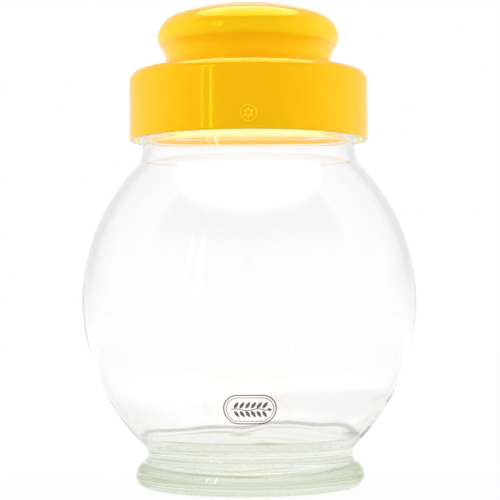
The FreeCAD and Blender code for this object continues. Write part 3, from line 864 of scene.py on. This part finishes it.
# the studio: a white room. Reflections see it dimmer on most sides and dark high up behind the
# camera, with a white card that has two bright strips, and a bright ceiling.
# Angles are in degrees: round the room from 0 behind the camera, the card's and the strips' positive
# to the right, and up from the horizon for dimTo, darkFrom, overhead and every low and high.
studio = {
    "even": 0.22, "ring": 0.62, "sides": 3.4, "sidesPower": 4.0,  # plain light on plastic and paper
    "white": 1.0,
    "dimLevel": 0.8, "dimTo": 22.0, "darkLevel": 0.0, "darkFrom": 46.0,
    "darkLow": -1.0, "darkLowSoft": 10.0, "darkHigh": 53.5, "darkHighSoft": 1.5,
    "darkTo": 81.0, "darkToSoft": 3.0,
    "rearLevel": 0.7, "rearFrom": 112.0, "rearTo": 162.0, "rearSoft": 5.0,
    "panelLevel": 0.8, "panelSoft": 3.0, "ceilingLevel": 4.3, "ceilingSoft": 4.0,
    "cardLevel": 1.0, "cardFrom": -44.0, "cardTo": -31.0, "cardSoft": 1.0,
    "cardLow": 2.0, "cardHigh": 33.0, "cardEndSoft": 1.5,
    "stripLevel": 7.0, "stripSoft": 0.4, "strips": ((-45.0, -43.8), (-36.6, -34.6)),
    "insideShare": 0.4, "backShare": 0.05,  # how much of this the inner wall and later turns show
    "insideWhite": 0.9, "overheadFrom": 20.0, "overheadTo": 45.0, "overheadLevel": 0.86,
}


def roomReflected(bench, s, around, rise):
    # what a reflection on the outside of the glass or the plastic sees
    aside = bench.maths("ABSOLUTE", around)
    darkHeight = bench.maths(
        "MULTIPLY",
        bench.band(rise, s["darkLow"], s["darkLow"] + s["darkLowSoft"]),
        bench.band(rise, s["darkHigh"] - s["darkHighSoft"], s["darkHigh"] + s["darkHighSoft"], 1.0, 0.0),
    )
    inFront = bench.band(aside, s["darkTo"] - s["darkToSoft"], s["darkTo"] + s["darkToSoft"], 1.0, 0.0)
    front = bench.maths("MULTIPLY", darkHeight, inFront)
    atRear = bench.between(aside, s["rearFrom"], s["rearTo"], s["rearSoft"])
    rear = bench.maths("MULTIPLY", darkHeight, atRear)
    atSides = bench.between(aside, s["darkTo"] + s["panelSoft"], s["rearFrom"], s["panelSoft"])
    panels = bench.maths("MULTIPLY", darkHeight, atSides)
    cardHeight = bench.between(rise, s["cardLow"], s["cardHigh"], s["cardEndSoft"])
    card = bench.maths(
        "MULTIPLY", bench.between(around, s["cardFrom"], s["cardTo"], s["cardSoft"]), cardHeight
    )
    frontLevel = bench.band(rise, s["dimTo"], s["darkFrom"], s["dimLevel"], s["darkLevel"])
    seen = bench.blend(s["white"], front, frontLevel)
    seen = bench.blend(seen, rear, s["rearLevel"])
    seen = bench.blend(seen, panels, s["panelLevel"])
    seen = bench.blend(seen, card, s["cardLevel"])
    for stripFrom, stripTo in s["strips"]:
        beside = bench.between(around, stripFrom, stripTo, s["stripSoft"])
        seen = bench.blend(seen, bench.maths("MULTIPLY", beside, cardHeight), s["stripLevel"])
    ceiling = bench.band(rise, s["darkHigh"] - s["darkHighSoft"], s["darkHigh"] + s["ceilingSoft"])
    return bench.blend(seen, ceiling, s["ceilingLevel"])


def buildWorld(s):
    world = bpy.data.worlds.new("studio")
    world.use_nodes = True
    world.node_tree.nodes.clear()
    bpy.context.scene.world = world
    bench = NodeBench(world.node_tree)
    output = bench.add("ShaderNodeOutputWorld")
    heading = bench.add("ShaderNodeTexCoord").outputs["Generated"]
    x, y, z = bench.add("ShaderNodeSeparateXYZ", {"Vector": heading}).outputs
    toDegrees = 180 / math.pi
    toCamera = bench.maths("MULTIPLY", y, -1.0)
    around = bench.maths("MULTIPLY", bench.maths("ARCTAN2", x, toCamera), toDegrees)
    rise = bench.maths("MULTIPLY", bench.maths("ARCSINE", z), toDegrees)
    seen = roomReflected(bench, s, around, rise)

    # the wall's inner face shows less of the room's dark, and later turns hardly any;
    # a depth over 0.5 means at least one turn, and over 2.5 at least three
    path = bench.add("ShaderNodeLightPath")
    inner = bench.maths("GREATER_THAN", path.outputs["Transmission Depth"], 0.5)
    far = bench.maths(
        "MAXIMUM",
        bench.maths("GREATER_THAN", path.outputs["Transmission Depth"], 2.5),
        bench.maths("GREATER_THAN", path.outputs["Glossy Depth"], 1.5),
    )
    whiter = bench.maths(
        "ADD",
        bench.maths("MULTIPLY", inner, 1 - s["insideShare"]),
        bench.maths("MULTIPLY", far, s["insideShare"] - s["backShare"]),
    )
    seen = bench.blend(seen, whiter, s["insideWhite"])

    flat = bench.maths("SUBTRACT", 1.0, bench.maths("MULTIPLY", z, z))
    even = bench.maths("ADD", s["even"], bench.maths("MULTIPLY", flat, s["ring"]))
    sideways = bench.maths("POWER", bench.maths("ABSOLUTE", x), s["sidesPower"])
    even = bench.maths("ADD", even, bench.maths("MULTIPLY", sideways, s["sides"]))

    bounced = bench.maths("GREATER_THAN", path.outputs["Glossy Depth"], 0.5)
    sharp = bench.maths("MAXIMUM", path.outputs["Is Glossy Ray"], path.outputs["Is Transmission Ray"])
    mirrored = bench.maths("MULTIPLY", bounced, sharp)
    clear = bench.maths("MAXIMUM", path.outputs["Is Camera Ray"], sharp)
    # through the glass the backdrop is white, and the room overhead a little dimmer
    overhead = bench.band(rise, s["overheadFrom"], s["overheadTo"], s["white"], s["overheadLevel"])
    backdrop = bench.blend(overhead, path.outputs["Is Camera Ray"], s["white"])
    strength = bench.blend(even, clear, backdrop)
    strength = bench.blend(strength, mirrored, seen)
    background = bench.add("ShaderNodeBackground", {"Color": (1.0, 1.0, 1.0, 1.0), "Strength": strength})
    bench.tree.links.new(background.outputs[0], output.inputs["Surface"])


# lengths in metres, outward from under the middle of the jar
floorSizes = {
    "half": 3.0, "drop": 0.0002, "paper": 0.86, "share": 0.9, "level": 1.03,
    # seen through the glass, the floor's glow is painted: painted light under the foot, painted shade close
    # by, painted light again farther off
    "lowShare": 0.62, "underLevel": 1.25, "underTo": 0.05,
    "nearLevel": 1.0, "nearFrom": 0.065, "nearTo": 0.25,
    "lowLevel": 1.22, "lowFrom": 0.5, "farLevel": 1.12, "fadeFrom": 0.5, "fadeTo": 2.6,
}


def buildFloor(s):
    half = s["half"]
    mesh = bpy.data.meshes.new("floor")
    corners = [(-half, -half, 0), (half, -half, 0), (half, half, 0), (-half, half, 0)]
    mesh.from_pydata(corners, [], [(0, 1, 2, 3)])
    floor = bpy.data.objects.new("floor", mesh)
    bpy.context.scene.collection.objects.link(floor)
    floor.location.z = -s["drop"]
    material, bench, output = newMaterial("floorPaper")
    paper = bench.add("ShaderNodeBsdfDiffuse", {"Color": (s["paper"], s["paper"], s["paper"], 1.0)})
    path = bench.add("ShaderNodeLightPath")
    paintedThrough = bench.maths("MAXIMUM", path.outputs["Is Glossy Ray"], path.outputs["Is Transmission Ray"])
    direct = path.outputs["Is Camera Ray"]
    spot = bench.add("ShaderNodeTexCoord").outputs["Object"]
    away = bench.add("ShaderNodeVectorMath", {0: spot}, operation="LENGTH").outputs["Value"]
    beside = bench.maths(
        "MULTIPLY",
        bench.band(away, s["underTo"], s["nearFrom"]),
        bench.band(away, s["nearTo"], s["lowFrom"], 1.0, 0.0),
    )
    # painted light and shade on the floor, by distance from the jar, for what the glass shows
    farther = bench.band(away, s["fadeFrom"], s["fadeTo"], s["lowLevel"], s["farLevel"])
    throughLevel = bench.blend(s["underLevel"], bench.band(away, s["underTo"], s["lowFrom"]), farther)
    throughLevel = bench.blend(throughLevel, beside, s["nearLevel"])
    level = bench.maths(
        "ADD", bench.maths("MULTIPLY", direct, s["level"]), bench.maths("MULTIPLY", paintedThrough, throughLevel)
    )
    share = bench.maths(
        "ADD", bench.maths("MULTIPLY", direct, s["share"]), bench.maths("MULTIPLY", paintedThrough, s["lowShare"])
    )
    glow = bench.add("ShaderNodeEmission", {"Color": (1.0, 1.0, 1.0, 1.0), "Strength": level})
    mixed = bench.add("ShaderNodeMixShader", {0: share, 1: paper.outputs[0], 2: glow.outputs[0]})
    bench.tree.links.new(mixed.outputs[0], output.inputs["Surface"])
    mesh.materials.append(material)


buildWorld(studio)
buildFloor(floorSizes)
bpy.context.scene.view_settings.view_transform = "Standard"
paths = bpy.context.scene.cycles
lightTurns = 128  # thick glass needs many turns of the light, or it goes black
paths.max_bounces = lightTurns
paths.transmission_bounces = lightTurns
paths.glossy_bounces = lightTurns
print("studio ready")
